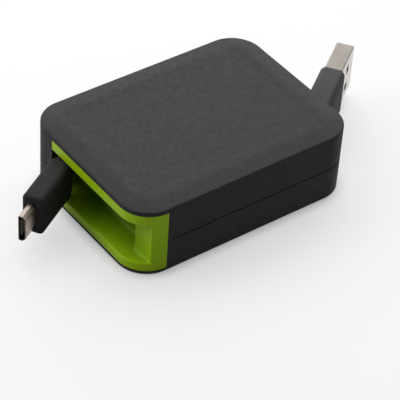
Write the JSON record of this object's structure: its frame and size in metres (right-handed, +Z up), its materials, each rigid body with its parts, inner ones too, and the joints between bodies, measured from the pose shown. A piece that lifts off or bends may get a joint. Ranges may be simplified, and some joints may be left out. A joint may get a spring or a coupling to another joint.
{
  "type": "retractable usb cable",
  "caption": "Retractable flat cable in a black case with green side pockets: a micro-USB plug and a USB-A plug swing out of their pockets, pull out and wind back on a sprung reel.",
  "frame": {"origin": "centre of the flat underside of the case", "axes": "+X along the case towards the USB-A end, +Y across it, +Z up out of the top cover"},
  "size_m": [0.0994, 0.0442, 0.0185],
  "materials": {
    "case_black": "fine matte",
    "pocket_green": "satin",
    "reel_grey": "moulded",
    "cable_black": "matte",
    "grip_black": "matte",
    "shell_steel": "plated",
    "spring_steel": "rolled",
    "ball_steel": "polished",
    "insulator_black": "moulded",
    "insulator_white": "moulded",
    "contact_gold": "plated"
  },
  "bodies": {
    "case": {"bottom_cover": "case_black", "top_cover": "case_black", "micro_pocket": "pocket_green", "usb_a_pocket": "pocket_green", "mainspring": "spring_steel", "micro_lead": "cable_black", "usb_a_lead": "cable_black"},
    "reel": {"spool": "reel_grey", "spool_flange": "reel_grey", "wound_cable": "cable_black"},
    "ball": {"ratchet_ball": "ball_steel"},
    "micro_cable": {"micro_neck": "cable_black"},
    "micro_plug": {"micro_overmould": "grip_black", "micro_shell": "shell_steel", "micro_tongue": "insulator_black", "micro_contacts": "contact_gold", "micro_latches": "shell_steel"},
    "usb_a_cable": {"usb_a_neck": "cable_black"},
    "usb_a_plug": {"usb_a_overmould": "grip_black", "usb_a_shell": "shell_steel", "usb_a_tongue": "insulator_white", "usb_a_contacts": "contact_gold"}
  },
  "joints": [
    {"name": "reel_spin", "type": "hinge", "parent": "case", "child": "reel", "pos_m": [0, 0, 0.00855], "axis": [0, 0, 1], "range_deg": [0, 1530], "stiffness_Nm_per_rad": 0.0008, "springref_deg": -572.96, "deforming": ["mainspring"]},
    {"name": "ball_shift", "type": "slide", "parent": "case", "child": "ball", "axis": [0, -1, 0], "range_m": [0, 0.0032]},
    {"name": "micro_swing", "type": "hinge", "parent": "case", "child": "micro_cable", "pos_m": [-0.0269, 0.01, 0.00855], "axis": [0, 0, -1], "range_deg": [-59, 18]},
    {"name": "micro_pull", "type": "slide", "parent": "micro_cable", "child": "micro_plug", "axis": [-0.8572, -0.515, 0], "range_m": [0, 0.36], "deforming": ["micro_neck"]},
    {"name": "usb_a_swing", "type": "hinge", "parent": "case", "child": "usb_a_cable", "pos_m": [0.0266, -0.01, 0.00855], "axis": [0, 0, -1], "range_deg": [-54.6, 19]},
    {"name": "usb_a_pull", "type": "slide", "parent": "usb_a_cable", "child": "usb_a_plug", "axis": [0.8151, 0.5793, 0], "range_m": [0, 0.36], "deforming": ["usb_a_neck"]}
  ],
  "couplings": [
    {"joint": "micro_pull", "follows": "reel_spin", "m_per_rad": 0.013225},
    {"joint": "usb_a_pull", "follows": "reel_spin", "m_per_rad": 0.013225}
  ]
}
